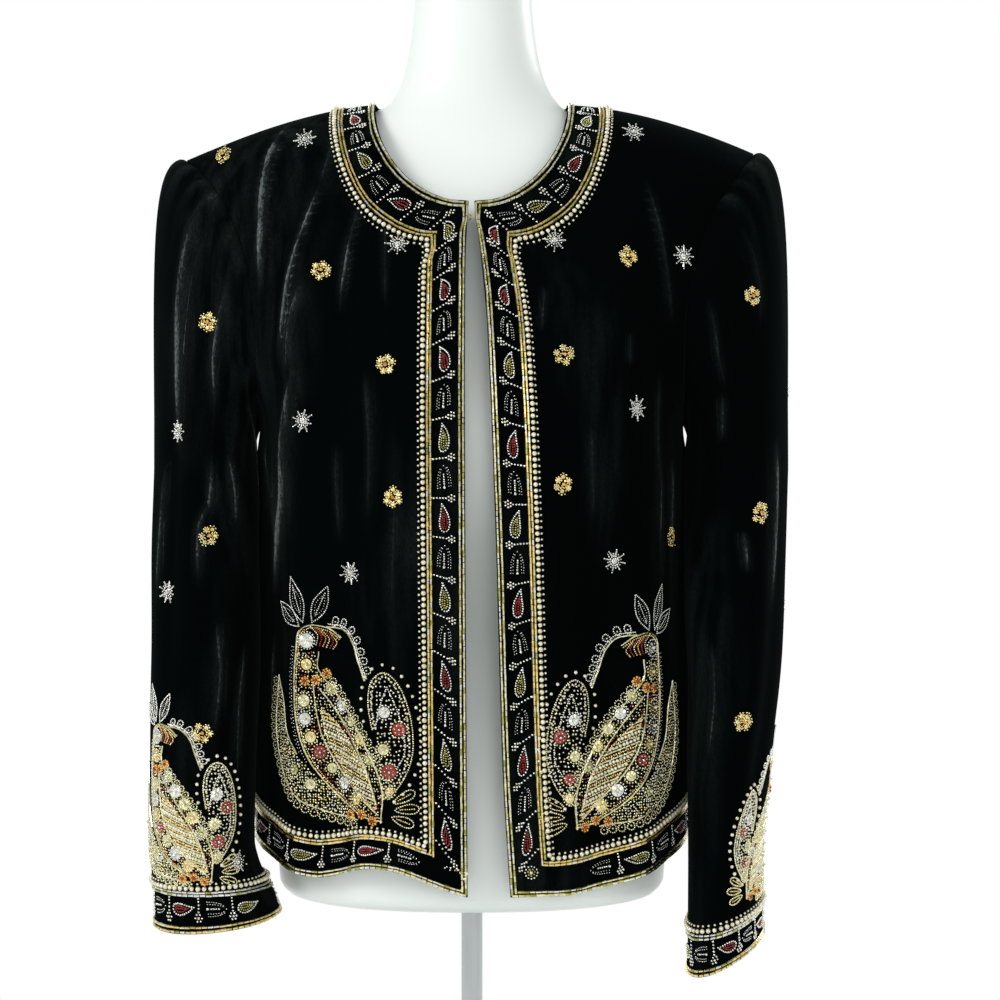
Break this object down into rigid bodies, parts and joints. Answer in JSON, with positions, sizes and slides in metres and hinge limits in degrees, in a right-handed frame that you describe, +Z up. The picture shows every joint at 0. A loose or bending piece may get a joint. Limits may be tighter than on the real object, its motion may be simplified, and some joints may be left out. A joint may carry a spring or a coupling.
{
  "type": "beaded evening jacket on dress form",
  "caption": "Collarless long-sleeved velvet evening jacket with beaded borders, closed by a neck hook, worn by a smooth limbless dress form on a pole and round base.",
  "frame": {"origin": "on the floor under the pole, in the middle of the base's underside", "axes": "+Z up along the pole, the jacket faces -Y, +X is the right side as seen from the front"},
  "size_m": [0.48, 0.3, 0.953],
  "materials": {
    "velvet": "black silk velvet with short pile",
    "hook_metal": "bright",
    "form_white": "satin white",
    "stand_metal": "satin grey"
  },
  "bodies": {
    "root": {"front_left": "velvet", "front_right": "velvet", "back": "velvet", "sleeve_left": "velvet", "sleeve_right": "velvet", "neck_hook": "hook_metal", "neck_eye": "hook_metal", "form_torso": "form_white", "form_pole": "stand_metal", "form_base": "stand_metal"}
  },
  "joints": []
}
